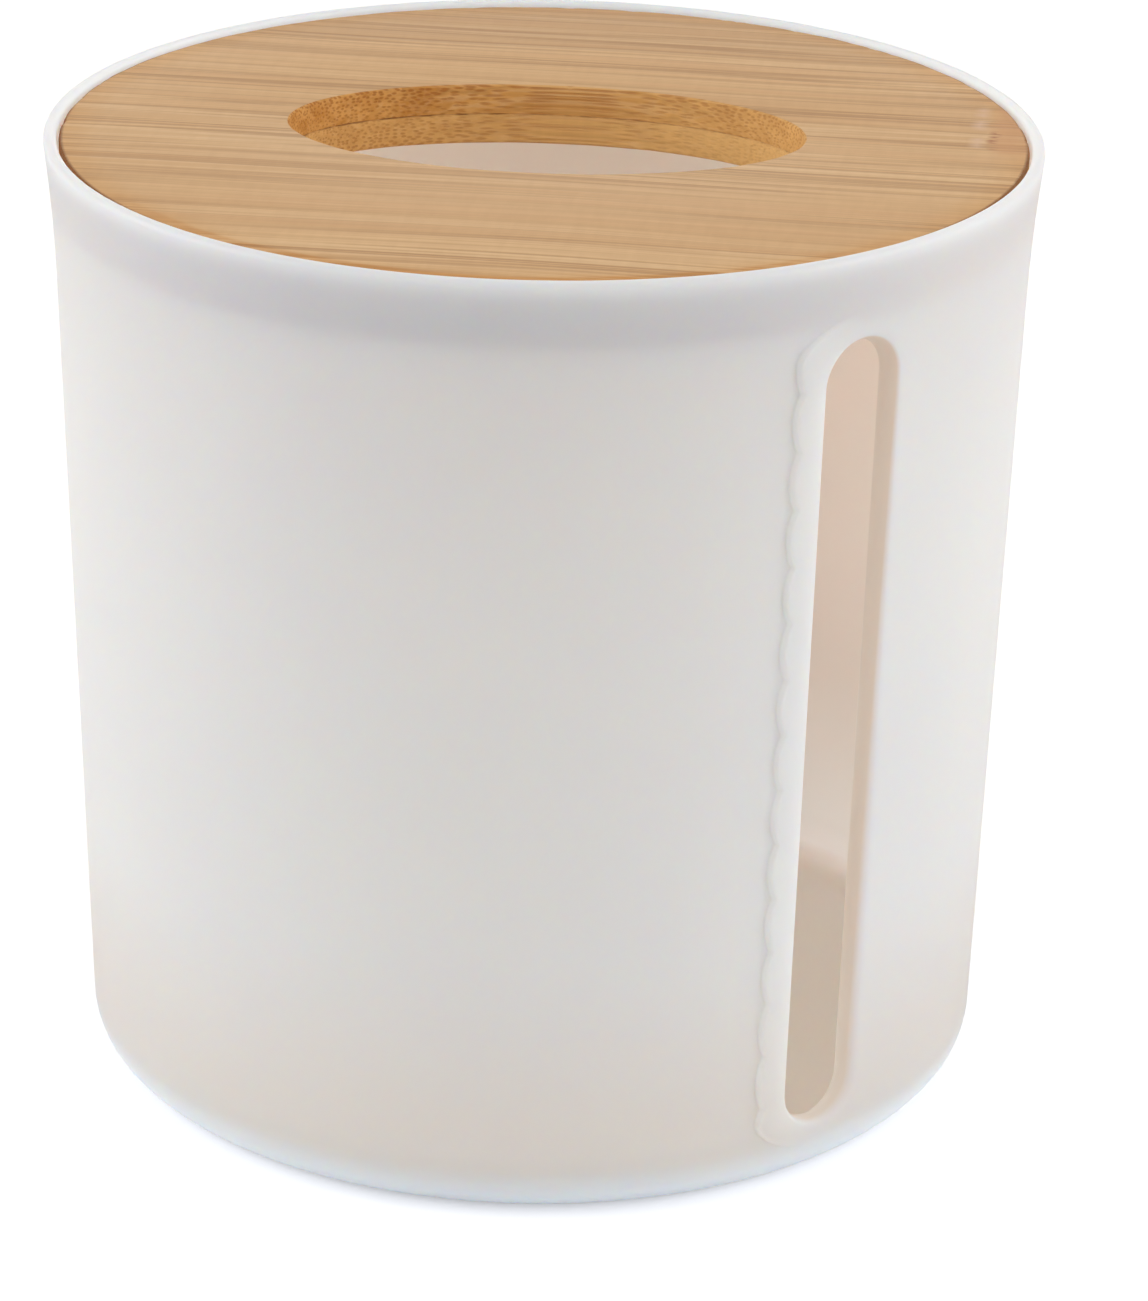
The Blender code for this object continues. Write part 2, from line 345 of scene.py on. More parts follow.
def window_curve(rows, low, high, end_up):
    """The window's left half as (angle, up). end_up places a height of the end rows."""
    low_side = low + (rows[0] - low) * np.arange(WINDOW_END_ROWS) / WINDOW_END_ROWS
    high_side = rows[-1] + (high - rows[-1]) * np.arange(1, WINDOW_END_ROWS + 1) / WINDOW_END_ROWS
    columns = -WINDOW_HALF_ANGLE * np.arange(WINDOW_COLUMNS) / WINDOW_COLUMNS
    side = np.full(len(rows) + 2 * WINDOW_END_ROWS, -WINDOW_HALF_ANGLE)
    angle = np.concatenate([columns, side, columns[::-1]])
    bottom = np.full(WINDOW_COLUMNS, low)
    top = np.full(WINDOW_COLUMNS, high)
    up = np.concatenate([bottom, low_side, rows, high_side, top])
    return np.stack([angle, end_up(up)], 1)


def both_halves(curve, mirrored):
    """Close a curve of the left half with its mirror image. `mirrored` tells which columns change sign."""
    other = curve[-2:0:-1].copy()
    other[:, mirrored] *= -1.0
    return np.concatenate([curve, other])


def right_margin_curve(slot):
    """On the slot's right half no lip stands, so its rings keep a plain distance from the slot."""
    over = np.maximum(0.0, slot[:, 3]) ** 2
    under = np.maximum(0.0, -slot[:, 3]) ** 2
    margin = LIP_WIDTH + (LIP_OVER_TOP - LIP_WIDTH) * over + (LIP_UNDER_BOTTOM - LIP_WIDTH) * under
    flat = np.zeros(len(slot))
    return np.stack([slot[:, 0] + slot[:, 2] * margin, slot[:, 1] + slot[:, 3] * margin, flat], 1)


def wall_angle(across, up):
    return across / outer_radius(np.maximum(up, BASE_FILLET))


def outer_loops(slot, lip):
    """Rings round the slot on the outer wall, from inside the slot's rounded edge to the lip's foot."""
    origin = slot[:, :2]
    out = slot[:, 2:]
    height = lip[:, 2]
    right_share = (1.0 + out[:, 0]) / 2
    rounding = SLOT_ROUND_LEFT + (SLOT_ROUND_RIGHT - SLOT_ROUND_LEFT) * right_share
    rounding_across = SLOT_ROUND_LEFT + (SLOT_ROUND_RIGHT_ACROSS - SLOT_ROUND_LEFT) * right_share
    edge_rise = LIP_EDGE_RISE * height
    in_lobes = (lip[:, 1] > FIRST_CUSP) & (lip[:, 1] < LAST_CUSP) & (height == 1.0)
    to_cusp = np.where(in_lobes, np.abs(2.0 * lobe_share(lip[:, 1]) - 1.0), 0.0)
    top_rise = LIP_RISE * height * (1.0 - LIP_CUSP_DROP_SHARE * to_cusp ** 2)

    def loop(place, rise):
        return on_wall(wall_angle(place[:, 0], place[:, 1]), place[:, 1], rise)

    loops = []
    for turn in np.linspace(math.pi / 2, 0.0, ROUNDING_STEPS + 1):
        place = origin + out * (rounding_across * (1.0 - math.sin(turn)))[:, None]
        loops.append(loop(place, edge_rise - rounding * (1.0 - math.cos(turn))))
    inner = origin + out * rounding_across[:, None]
    for share in np.linspace(1.0, 0.0, CROWN_STEPS + 1)[1:]:
        place = lip[:, :2] + (inner - lip[:, :2]) * share
        loops.append(loop(place, edge_rise + (top_rise - edge_rise) * (1.0 - share ** 2)))
    away = lip[:, :2] - origin
    away /= np.linalg.norm(away, axis=1)[:, None]
    for share in np.linspace(0.0, 1.0, STEP_STEPS + 1)[1:]:
        place = lip[:, :2] + away * LIP_STEP_WIDTH * share
        loops.append(loop(place, top_rise * (1.0 - smooth_step(share))))
    return loops, lip[:, :2] + away * LIP_STEP_WIDTH


def graded(count, power):
    """Shares from just over 0 to just under 1, closer together at the start."""
    return (np.arange(1, count) / count) ** power


def spokes_to_window(start, window, shares, surface):
    """Rings between a curve and the window, both given as (angle, up)."""
    return [surface(*(start + (window - start) * share).T) for share in shares]


def inner_loops(slot, window):
    """Rings round the slot from its inner edge, rounded a little, out over the inner wall."""
    origin = slot[:, :2]
    loops = []
    for turn in np.linspace(math.pi / 2, 0.0, INNER_ROUNDING_STEPS + 1):
        place = origin + slot[:, 2:] * SLOT_ROUND_INSIDE * (1.0 - math.sin(turn))
        depth = SLOT_ROUND_INSIDE * (1.0 - math.cos(turn))
        angle = wall_angle(place[:, 0], place[:, 1])
        loops.append(at_angle(inner_radius(place[:, 1]) + depth, angle, place[:, 1]))
    start = np.stack([angle, place[:, 1]], 1)
    return loops + spokes_to_window(start, window, graded(INNER_RINGS, RING_GRADING), inside_wall)


def column_angles():
    """Angles of the mesh's columns: even across the window, then closer together beside it than behind."""
    across = np.linspace(-WINDOW_HALF_ANGLE, WINDOW_HALF_ANGLE, 2 * WINDOW_COLUMNS + 1)
    share = np.arange(1, ROUND_COLUMNS) / ROUND_COLUMNS
    share = share - COLUMN_GRADING_SHARE * np.sin(2 * math.pi * share) / (2 * math.pi)
    behind = WINDOW_HALF_ANGLE + (2 * math.pi - 2 * WINDOW_HALF_ANGLE) * share
    return np.concatenate([across, behind])


def wall_round_window(skin, surface, low_ring, high_ring, window, loops):
    """Mesh one side of the wall: rings round the slot inside the window, and columns round the rest."""
    columns = column_angles()
    middle = WINDOW_COLUMNS
    right = 2 * WINDOW_COLUMNS
    side = window[middle:len(window) // 2 + 1 - middle, 1]
    left_ids = [low_ring[0]] + skin.add(surface(columns[0], side[1:-1])) + [high_ring[0]]
    right_ids = [low_ring[right]] + skin.add(surface(columns[right], side[1:-1])) + [high_ring[right]]
    border = low_ring[middle:0:-1] + left_ids + high_ring[1:right] + right_ids[::-1]
    border += low_ring[right - 1:middle:-1]
    rings = [skin.add(loop) for loop in loops]
    skin.join_all(rings + [border])

    last = len(side) - 1
    ends = (WINDOW_END_ROWS, last - WINDOW_END_ROWS)
    coarse = [i for i in range(last + 1) if i <= ends[0] or i >= ends[1] or i % ROW_STEP == 0]
    behind = columns[right + 1:]
    rows = [low_ring[right + 1:]]
    rows += [skin.add(surface(behind, np.full(len(behind), side[i]))) for i in coarse[1:-1]]
    rows.append(high_ring[right + 1:])
    skin.join_all(rows, closed=False)
    for k, (low, high) in enumerate(zip(coarse[:-1], coarse[1:])):
        skin.faces.append(tuple(right_ids[low:high + 1][::-1] + [rows[k][0], rows[k + 1][0]]))
        skin.faces.append(tuple(left_ids[low:high + 1] + [rows[k + 1][-1], rows[k][-1]]))
    return rings[0]


def arc(centre_r, centre_z, radius, start, end, steps):
    turns = np.linspace(start, end, steps + 1)
    return [(centre_r + radius * math.cos(t), centre_z + radius * math.sin(t)) for t in turns]


def foot_profile():
    """Underside of the cup from near its middle to the outside of its foot, as (radius, height)."""
    foot_outer = float(outer_radius(BASE_FILLET)) - BASE_FILLET
    foot_inner = foot_outer - FOOT_WIDTH
    dip = foot_inner - FOOT_RECESS
    profile = [(GATE_RADIUS * share, FOOT_RECESS + GATE_DEPTH) for share in (0.4, 0.8)]
    profile += [(GATE_RADIUS, FOOT_RECESS + GATE_DEPTH / 2), (GATE_RADIUS * 1.2, FOOT_RECESS)]
    profile += [(dip * share, FOOT_RECESS) for share in UNDERSIDE_RING_SHARES]
    profile += [(dip - FOOT_ROUND, FOOT_RECESS)]
    profile += [(dip, FOOT_RECESS - FOOT_ROUND / 4), (foot_inner - FOOT_ROUND / 2, FOOT_ROUND / 4)]
    profile += [(foot_inner, 0.0), ((foot_inner + foot_outer) / 2, 0.0)]
    return profile


def rim_profile():
    """From the wall's top over the rim, down to the lid's seat and in to its lower edge."""
    seat_inner = BORE_RADIUS - SEAT_WIDTH
    seat_under = SEAT_TOP - SEAT_EDGE
    quarter = math.pi / 2
    profile = arc(RIM_RADIUS - RIM_ROUND, FLARE_TOP, RIM_ROUND, 0.0, math.pi, RIM_STEPS)
    profile += [(BORE_RADIUS, FLARE_TOP - RIM_ROUND / 2), (BORE_RADIUS, (FLARE_TOP + SEAT_TOP) / 2)]
    corner = BORE_RADIUS - SEAT_ROUND
    profile += arc(corner, SEAT_TOP + SEAT_ROUND, SEAT_ROUND, 0.0, -quarter, CORNER_STEPS)
    corner = seat_inner + SEAT_ROUND
    profile += arc(corner, SEAT_TOP - SEAT_ROUND, SEAT_ROUND, quarter, math.pi, CORNER_STEPS)
    profile += [(seat_inner, seat_under + SEAT_ROUND)]
    return profile


def floor_profile():
    """From the foot of the inner wall down its fillet and in over the cup's floor."""
    centre_z = FLOOR_TOP + INNER_FILLET
    centre_r = float(inner_radius(centre_z)) - INNER_FILLET
    profile = arc(centre_r, centre_z, INNER_FILLET, 0.0, -math.pi / 2, FILLET_STEPS)
    profile += [(centre_r * share, FLOOR_TOP) for share in FLOOR_RING_SHARES]
    return profile


def make_body():
    """The cup as one closed mesh."""
    skin = Skin()
    columns = column_angles()
    rows = side_rows()

    def full_ring(place):
        return skin.add(at_angle(place[0], columns, np.full(len(columns), place[1])))

    slot_left = slot_curve(rows)
    slot = both_halves(slot_left, [0, 2])
    lip_left = lip_curve(rows)
    right = right_margin_curve(slot)
    lip = np.concatenate([lip_left, right[len(lip_left):]])

    inner_low = FLOOR_TOP + INNER_FILLET + INNER_MARGIN
    inner_high = SEAT_TOP - SEAT_EDGE

    def inner_up(up):
        low_share = (up - WINDOW_LOW) / (rows[0] - WINDOW_LOW)
        high_share = (up - rows[-1]) / (WINDOW_HIGH - rows[-1])
        low_part = inner_low + (rows[0] - inner_low) * low_share
        high_part = rows[-1] + (inner_high - rows[-1]) * high_share
        return np.where(up < rows[0], low_part, np.where(up > rows[-1], high_part, up))

    window = both_halves(window_curve(rows, WINDOW_LOW, WINDOW_HIGH, lambda up: up), [0])
    inner_window = both_halves(window_curve(rows, WINDOW_LOW, WINDOW_HIGH, inner_up), [0])

    underside = [full_ring(place) for place in foot_profile()]
    skin.fan(underside[0], (0.0, 0.0, FOOT_RECESS + GATE_DEPTH))
    foot_up = BASE_FILLET - BASE_FILLET * math.pi / 2
    for up in np.linspace(foot_up, WINDOW_LOW, FILLET_STEPS + 1):
        underside.append(skin.add(on_wall(columns, np.full(len(columns), up))))
    skin.join_all(underside)

    top = [skin.add(on_wall(columns, np.full(len(columns), up)))
           for up in (WINDOW_HIGH, FLARE_TOP - 2 * RIM_ROUND, FLARE_TOP - RIM_ROUND / 2)]
    top += [full_ring(place) for place in rim_profile()]
    top.append(skin.add(inside_wall(columns, np.full(len(columns), inner_high))))
    skin.join_all(top)

    bottom = [skin.add(inside_wall(columns, np.full(len(columns), inner_low)))]
    bottom += [full_ring(place) for place in floor_profile()]
    skin.join_all(bottom)
    skin.fan(bottom[-1], (0.0, 0.0, FLOOR_TOP))

    loops, foot = outer_loops(slot, lip)
    start = np.stack([wall_angle(foot[:, 0], foot[:, 1]), foot[:, 1]], 1)
    loops += spokes_to_window(start, window, graded(OUTER_RINGS, RING_GRADING), on_wall)
    outer_edge = wall_round_window(skin, on_wall, underside[-1], top[0], window, loops)

    inside = inner_loops(slot, inner_window)
    inner_edge = wall_round_window(skin, inside_wall, bottom[0], top[-1], inner_window, inside)
    between = [skin.add(loops[0] + (inside[0] - loops[0]) * share) for share in CUT_FACE_SHARES]
    skin.join_all([outer_edge] + between + [inner_edge])
    return skin.build("cup")


# Lid

def lid_ring(half_length, half_width, centre_y, height):
    """Points of an oval in the lid, counted round in the lid's turn. The sizes may vary round the oval."""
    round_turn = 2 * math.pi * np.arange(LID_SIDES) / LID_SIDES
    x = half_length * np.cos(round_turn)
    y = centre_y + half_width * np.sin(round_turn)
    cosine, sine = math.cos(LID_TURN), math.sin(LID_TURN)
    return np.stack([x * cosine - y * sine, x * sine + y * cosine, np.full(LID_SIDES, height)], 1)


def edge_wear(random, waves, depth_share, splinters, largest_share):
    """Share by which a hand-sanded edge is wider or narrower round the lid, with small splinters missing."""
    round_turn = 2 * math.pi * np.arange(LID_SIDES) / LID_SIDES
    wear = np.ones(LID_SIDES)
    for wave in waves:
        phase = random.uniform(0, 2 * math.pi)
        wear += depth_share / math.sqrt(len(waves)) * np.cos(wave * round_turn + phase)
    for _ in range(splinters):
        place = random.uniform(0, LID_SIDES)
        width = random.uniform(0.6, 1.8)
        size = largest_share * random.uniform(0.25, 1.0)
        distance = np.abs((np.arange(LID_SIDES) - place + LID_SIDES / 2) % LID_SIDES - LID_SIDES / 2)
        wear += size * np.exp(-(distance / width) ** 2)
    return wear


def make_ply(name, show_face, glue_face, seed):
    """One board of the lid: eased edges on the face that shows, and half of the glue line's fine groove."""
    random = np.random.default_rng(seed)
    outward = math.copysign(1.0, show_face - glue_face)
    outer_cut = LID_EDGE_CHAMFER * edge_wear(random, *RIM_WEAR)
    inner_cut = OPENING_CHAMFER * edge_wear(random, *OPENING_WEAR)

    def hole(widen, height):
        return lid_ring(OPENING_LENGTH / 2 + widen, OPENING_WIDTH / 2 + widen, OPENING_OFFSET, height)

    def edge(narrow, height):
        return lid_ring(LID_RADIUS - narrow, LID_RADIUS - narrow, 0.0, height)

    def with_drop(ring, drop):
        ring[:, 2] = show_face - outward * drop
        return ring

    groove = glue_face + outward * LID_GLUE_GROOVE
    rings = [hole(LID_GLUE_GROOVE, glue_face), hole(0.0, groove)]
    rings += [with_drop(hole(inner_cut * out, 0.0), inner_cut * down) for out, down in EDGE_SHARES]
    rings += [with_drop(edge(outer_cut * out, 0.0), outer_cut * down) for out, down in EDGE_SHARES[::-1]]
    rings += [edge(0.0, groove), edge(LID_GLUE_GROOVE, glue_face)]
    skin = Skin()
    indices = [skin.add(ring) for ring in rings]
    skin.join_all(indices + [indices[0]])
    ply = skin.build(name)
    ply.data.set_sharp_from_angle(angle=BOARD_SHARP_ANGLE)
    return ply


# Materials

def linear(red, green, blue):
    """Colour from its 0 to 255 display values."""
    def channel(value):
        share = value / 255
        return share / 12.92 if share <= 0.04045 else ((share + 0.055) / 1.055) ** 2.4
    return (channel(red), channel(green), channel(blue), 1.0)


# Plastic: how far light runs in it, and the share that comes through its thin wall. The share is larger low
# down, below THROUGH_THIN_LOW, and none comes through the base, below THROUGH_LOW
PLASTIC_SCATTER = 0.002
THROUGH_SHARE = 0.35
THROUGH_SHARE_LOW = 0.55
THROUGH_THIN_LOW = 0.012
THROUGH_THIN_HIGH = 0.035
THROUGH_LOW = 0.003
THROUGH_HIGH = 0.007
THROUGH_COLOUR_REACH = (1.0, 0.70, 0.50)
PLASTIC_IOR = 1.46
PLASTIC_ROUGHNESS = (0.37, 0.47)
PLASTIC_ROUGHNESS_SPOTS = 0.02
TEXTURE_DEPTH = 0.000012
WAVES_DEPTH = 0.00009
SCRATCH_DEPTH = 0.000004

# The inside's tint, warm beige, darker and warmer low on the wall and palest on the floor: depths in
# the wall, as shares of it, and heights between which it changes
INSIDE_DEPTHS = (WALL * 0.25, WALL * 0.5)
INSIDE_MIDDLE_HEIGHTS = (0.028, 0.058)

# Painted shade and warm light on the slot's cut face: depths at which they start, are full and end again
CUT_SHADE_START = WALL * 0.005
CUT_SHADE_FULL_LOW = WALL * 0.34
CUT_SHADE_FULL_HIGH = WALL * 0.08
CUT_SHADE_END = (WALL * 0.86, WALL * 0.98)

# Specks in the plastic: cells per metre, the draw above which a cell holds one, the share of a cell over
# which it fades out, and its strength
SPECK_CELLS = 62.0
SPECK_CHOICE = 0.72
SPECK_SIZES = (0.012, 0.022)
SPECK_STRENGTH = 0.45

# Bamboo, in the grain's own axes: the joint between two strips, and the culm's node that crosses one
STRIP_JOINT = 0.0405
NODE_ALONG = 0.0575
NODE_ACROSS = 0.0125
NODE_HALF_WIDTH = 0.0125
NODE_MARKS_ACROSS = 0.0078
NODE_MARKS_HALF_WIDTH = 0.0045
NODE_WOBBLE = 0.0024
GRAIN_SWAY = 0.005
GLUE_HALF_WIDTH = 0.0002

# Lid's edge: radii and places of its golden rim, of the orange band at the front and of the dark outermost
# line, which is painted shade of the gap to the cup's rim, and how far the grain moves the first two
NEAR_RIM = (LID_RADIUS - 0.0035, LID_RADIUS + 0.0015)
FRONT_BAND = (LID_RADIUS - 0.0021, LID_RADIUS - 0.0014)
FRONT_BAND_ACROSS = (-0.056, -0.036)
RIM_GAP_SHADE_RADII = (LID_RADIUS - 0.0006, LID_RADIUS - 0.0003)
RIM_GAP_SHADE_HEIGHTS = (LID_TOP - 0.0009, LID_TOP - 0.0004)
RIM_BAND_SWAY = 0.003
FRONT_BAND_SWAY = 0.0012

# Fibre bundles: cells per metre, and how irregularly they lie and run
BUNDLE_CELLS = 1950.0
BUNDLE_RANDOMNESS = 0.85
BUNDLE_SWAY_ACROSS = 0.0010
BUNDLE_SWAY_UP = 0.0007

# Opening's wall: its far end is paler, and so is the whole of the lower board's part
PALE_WALL_ALONG = 0.02
PALE_WALL_GAIN = 0.44
PALE_WALL_LOWER_BOARD = 0.36

# Board's cut: how level a surface is where it shows its face and no cut edge, and how squarely it cuts the
# fibres where their lines end in dots
FACE_LEVEL = (0.72, 0.985)
LINES_END = (0.15, 0.5)

# Bamboo's sheen and the depths of its relief
BAMBOO_SPECULAR = 0.15
BAMBOO_ROUGHNESS = (0.46, 0.60)
FIBRE_DEPTH = 0.00003
LINE_DEPTH = -0.00004
BUNDLE_DEPTH = -0.00006

# Colours
PLASTIC_WHITE = linear(233, 240, 254)
PLASTIC_GREY = linear(230, 237, 252)
PLASTIC_INSIDE_LOW = linear(227, 205, 183)
PLASTIC_INSIDE_MIDDLE = linear(241, 226, 210)
PLASTIC_INSIDE_HIGH = linear(254, 232, 210)
PLASTIC_INSIDE_FLOOR = linear(254, 240, 235)
# Painted shade and warm light from the cup's inside, on the slot's cut face
PLASTIC_CUT_PAINTED_SHADE = linear(219, 203, 188)
PLASTIC_THROUGH = linear(255, 254, 250)
SPECK = linear(120, 112, 104)
BAMBOO_LIGHT = linear(216, 176, 128)
BAMBOO_BROWN = linear(204, 162, 115)
BAMBOO_LINE = linear(154, 111, 70)
BAMBOO_PALE = linear(231, 199, 156)
BAMBOO_RED = linear(198, 147, 104)
BAMBOO_EDGE_LIGHT = linear(214, 156, 84)
BAMBOO_EDGE_BROWN = linear(196, 134, 62)
BAMBOO_EDGE_PALE = linear(236, 192, 126)
# Painted shade of the gap between the lid and the cup's rim
BAMBOO_GAP_SHADE = linear(120, 70, 36)
BAMBOO_FIBRE = linear(160, 92, 36)
BAMBOO_GLUE = linear(124, 72, 36)
BAMBOO_NODE_PALE = linear(222, 188, 162)
BAMBOO_NODE_BROWN = linear(202, 148, 102)
BAMBOO_NODE_MARK = linear(158, 92, 56)
FLOOR_COLOUR = linear(238, 238, 238)
FLOOR_COLOUR_2 = linear(240, 240, 240)


class Graph:
    """Short forms for building a material from nodes."""

    def __init__(self, name):
        self.material = bpy.data.materials.new(name)
        self.material.use_nodes = True
        self.tree = self.material.node_tree
        self.shader = self.tree.nodes["Principled BSDF"]
        self.place = self.tree.nodes.new("ShaderNodeTexCoord").outputs["Object"]
        self.axes = self.node("ShaderNodeSeparateXYZ", {0: self.place}).outputs

    def node(self, kind, inputs, **settings):
        node = self.tree.nodes.new(kind)
        for key, value in settings.items():
            setattr(node, key, value)
        for key, value in inputs.items():
            self.put(node, key, value)
        return node

    def put(self, node, key, value):
        if isinstance(value, bpy.types.NodeSocket):
            self.tree.links.new(value, node.inputs[key])
        else:
            node.inputs[key].default_value = value

    def math(self, operation, first, second=0.0, third=0.0):
        node = self.node("ShaderNodeMath", {0: first, 1: second, 2: third}, operation=operation)
        return node.outputs[0]

    def from_axis(self):
        flat = self.node("ShaderNodeCombineXYZ", {0: self.axes[0], 1: self.axes[1]}).outputs[0]
        return self.node("ShaderNodeVectorMath", {0: flat}, operation="LENGTH").outputs["Value"]

    def move(self, place, scale, turn=0.0):
        inputs = {"Vector": place, "Scale": scale, "Rotation": (0.0, 0.0, turn)}
        return self.node("ShaderNodeMapping", inputs).outputs[0]

    def noise(self, place, scale, detail=2.0, roughness=0.5):
        inputs = {"Vector": place, "Scale": scale, "Detail": detail, "Roughness": roughness}
        return self.node("ShaderNodeTexNoise", inputs).outputs[0]

    def cells(self, place, scale, randomness=1.0, dimensions="3D"):
        node = self.node("ShaderNodeTexVoronoi", {}, voronoi_dimensions=dimensions)
        for key, value in {"Vector": place, "Scale": scale, "Randomness": randomness}.items():
            self.put(node, key, value)
        return node

    def span(self, value, low, high, to_low=0.0, to_high=1.0):
        inputs = {"Value": value, "From Min": low, "From Max": high, "To Min": to_low, "To Max": to_high}
        return self.node("ShaderNodeMapRange", inputs).outputs[0]

    def ridge(self, value, level, half_width):
        """1 where the value is at the level, falling to 0 at the half width on both sides."""
        off = self.math("ABSOLUTE", self.math("SUBTRACT", value, level))
        return self.span(off, 0.0, half_width, 1.0, 0.0)

    def mix(self, factor, first, second):
        inputs = {"Factor": factor, 6: first, 7: second}
        return self.node("ShaderNodeMix", inputs, data_type="RGBA").outputs[2]

    def bump(self, height, distance, strength=1.0, normal=None):
        inputs = {"Height": height, "Distance": distance, "Strength": strength}
        if normal is not None:
            inputs["Normal"] = normal
        return self.node("ShaderNodeBump", inputs).outputs[0]


def white_plastic():
    """Satin moulded plastic: slightly cloudy, with a few dark specks and faint rubbed marks."""
    g = Graph("white_plastic_surface")
    clouds = g.noise(g.place, 26.0, 3.0)
    colour = g.mix(g.span(clouds, 0.3, 0.7), PLASTIC_WHITE, PLASTIC_GREY)
    wall_outside = g.span(g.axes[2], 0.0, HEIGHT, outer_radius(0.0), WALL_TOP_RADIUS)
    below = g.math("MAXIMUM", g.math("SUBTRACT", BASE_FILLET, g.axes[2]), 0.0)
    in_fillet = g.math("SQRT", g.math("SUBTRACT", BASE_FILLET ** 2, g.math("MULTIPLY", below, below)))
    wall_outside = g.math("SUBTRACT", wall_outside, g.math("SUBTRACT", BASE_FILLET, in_fillet))
    depth = g.math("SUBTRACT", wall_outside, g.from_axis())
    up = g.axes[2]
    inside = g.math("MULTIPLY", g.span(depth, *INSIDE_DEPTHS), g.span(up, FOOT_RECESS, FLOOR_TOP))
    inside = g.math("MULTIPLY", inside, g.span(up, LID_TOP - RIM_ROUND, LID_TOP, 1.0, 0.0))
    inside_colour = g.mix(g.span(up, *INSIDE_MIDDLE_HEIGHTS), PLASTIC_INSIDE_LOW, PLASTIC_INSIDE_MIDDLE)
    inside_colour = g.mix(g.span(up, HEIGHT / 2, LID_BOTTOM), inside_colour, PLASTIC_INSIDE_HIGH)
    low_down = g.span(up, FLOOR_TOP + INNER_FILLET / 2, FLOOR_TOP + 2 * INNER_FILLET, 1.0, 0.0)
    inside_colour = g.mix(low_down, inside_colour, PLASTIC_INSIDE_FLOOR)
    colour = g.mix(inside, colour, inside_colour)

    # Painted shade and warm light from the cup's inside: the slot's cut face and its rounding are painted
    # darker and browner than the wall round it
    face_end = SLOT_HALF + SLOT_ROUND_RIGHT_ACROSS
    beside = g.span(g.math("ABSOLUTE", g.axes[0]), SLOT_HALF + SLOT_ROUND_RIGHT, face_end, 1.0, 0.0)
    beside = g.math("MULTIPLY", beside, g.math("LESS_THAN", g.axes[1], 0.0))
    full_depth = g.span(up, SLOT_BOTTOM, SLOT_TOP, CUT_SHADE_FULL_LOW, CUT_SHADE_FULL_HIGH)
    before_inside = g.span(depth, *CUT_SHADE_END, 1.0, 0.0)
    cut_face_painted_shade = g.math("MULTIPLY", g.span(depth, CUT_SHADE_START, full_depth), before_inside)
    cut_face_painted_shade = g.math("MULTIPLY", g.math("MULTIPLY", cut_face_painted_shade, beside), g.span(up, FLOOR_TOP, SLOT_BOTTOM))
    colour = g.mix(cut_face_painted_shade, colour, PLASTIC_CUT_PAINTED_SHADE)

    specks = g.cells(g.place, SPECK_CELLS)
    lot = g.node("ShaderNodeSeparateColor", {0: specks.outputs["Color"]}).outputs[0]
    chosen = g.math("GREATER_THAN", lot, SPECK_CHOICE)
    dot = g.math("MULTIPLY", g.span(specks.outputs["Distance"], *SPECK_SIZES, 1.0, 0.0), chosen)
    colour = g.mix(g.math("MULTIPLY", dot, SPECK_STRENGTH), colour, SPECK)
    g.put(g.shader, "Base Color", colour)

    rubbed = g.noise(g.move(g.place, (60.0, 60.0, 9.0)), 1.0, 4.0, 0.6)
    sheen_spots = g.noise(g.place, 180.0, 3.0)
    spots = g.span(sheen_spots, 0.3, 0.7, -PLASTIC_ROUGHNESS_SPOTS, PLASTIC_ROUGHNESS_SPOTS)
    roughness = g.math("ADD", g.span(rubbed, 0.3, 0.7, *PLASTIC_ROUGHNESS), spots)
    g.put(g.shader, "Roughness", roughness)

    texture = g.noise(g.place, 1700.0, 2.0)
    waves = g.noise(g.place, 42.0, 1.0)
    scratches = g.cells(g.move(g.place, (300.0, 300.0, 14.0), 0.35), 1.0)
    scratch = g.span(scratches.outputs["Distance"], 0.0, 0.05, 0.0, 1.0)
    normal = g.bump(texture, TEXTURE_DEPTH)
    normal = g.bump(waves, WAVES_DEPTH, 1.0, normal)
    normal = g.bump(scratch, SCRATCH_DEPTH, 1.0, normal)
    g.put(g.shader, "Normal", normal)

    g.put(g.shader, "Subsurface Weight", 1.0)
    g.put(g.shader, "Subsurface Radius", THROUGH_COLOUR_REACH)
    g.put(g.shader, "Subsurface Scale", PLASTIC_SCATTER)
    g.put(g.shader, "IOR", PLASTIC_IOR)

    # A thin wall also lets light through: what enters one face leaves by the other. The base does not.
    thin = g.span(up, THROUGH_THIN_LOW, THROUGH_THIN_HIGH, THROUGH_SHARE_LOW, THROUGH_SHARE)
    share = g.math("MULTIPLY", g.span(up, THROUGH_LOW, THROUGH_HIGH), thin)
    leaving = g.node("ShaderNodeNewGeometry", {}).outputs["Backfacing"]
    share = g.math("MAXIMUM", share, leaving)
    through = g.node("ShaderNodeBsdfTranslucent", {"Color": PLASTIC_THROUGH})
    wall = g.node("ShaderNodeMixShader", {0: share, 1: g.shader.outputs[0], 2: through.outputs[0]})
    g.put(g.tree.nodes["Material Output"], "Surface", wall.outputs[0])
    return g.material


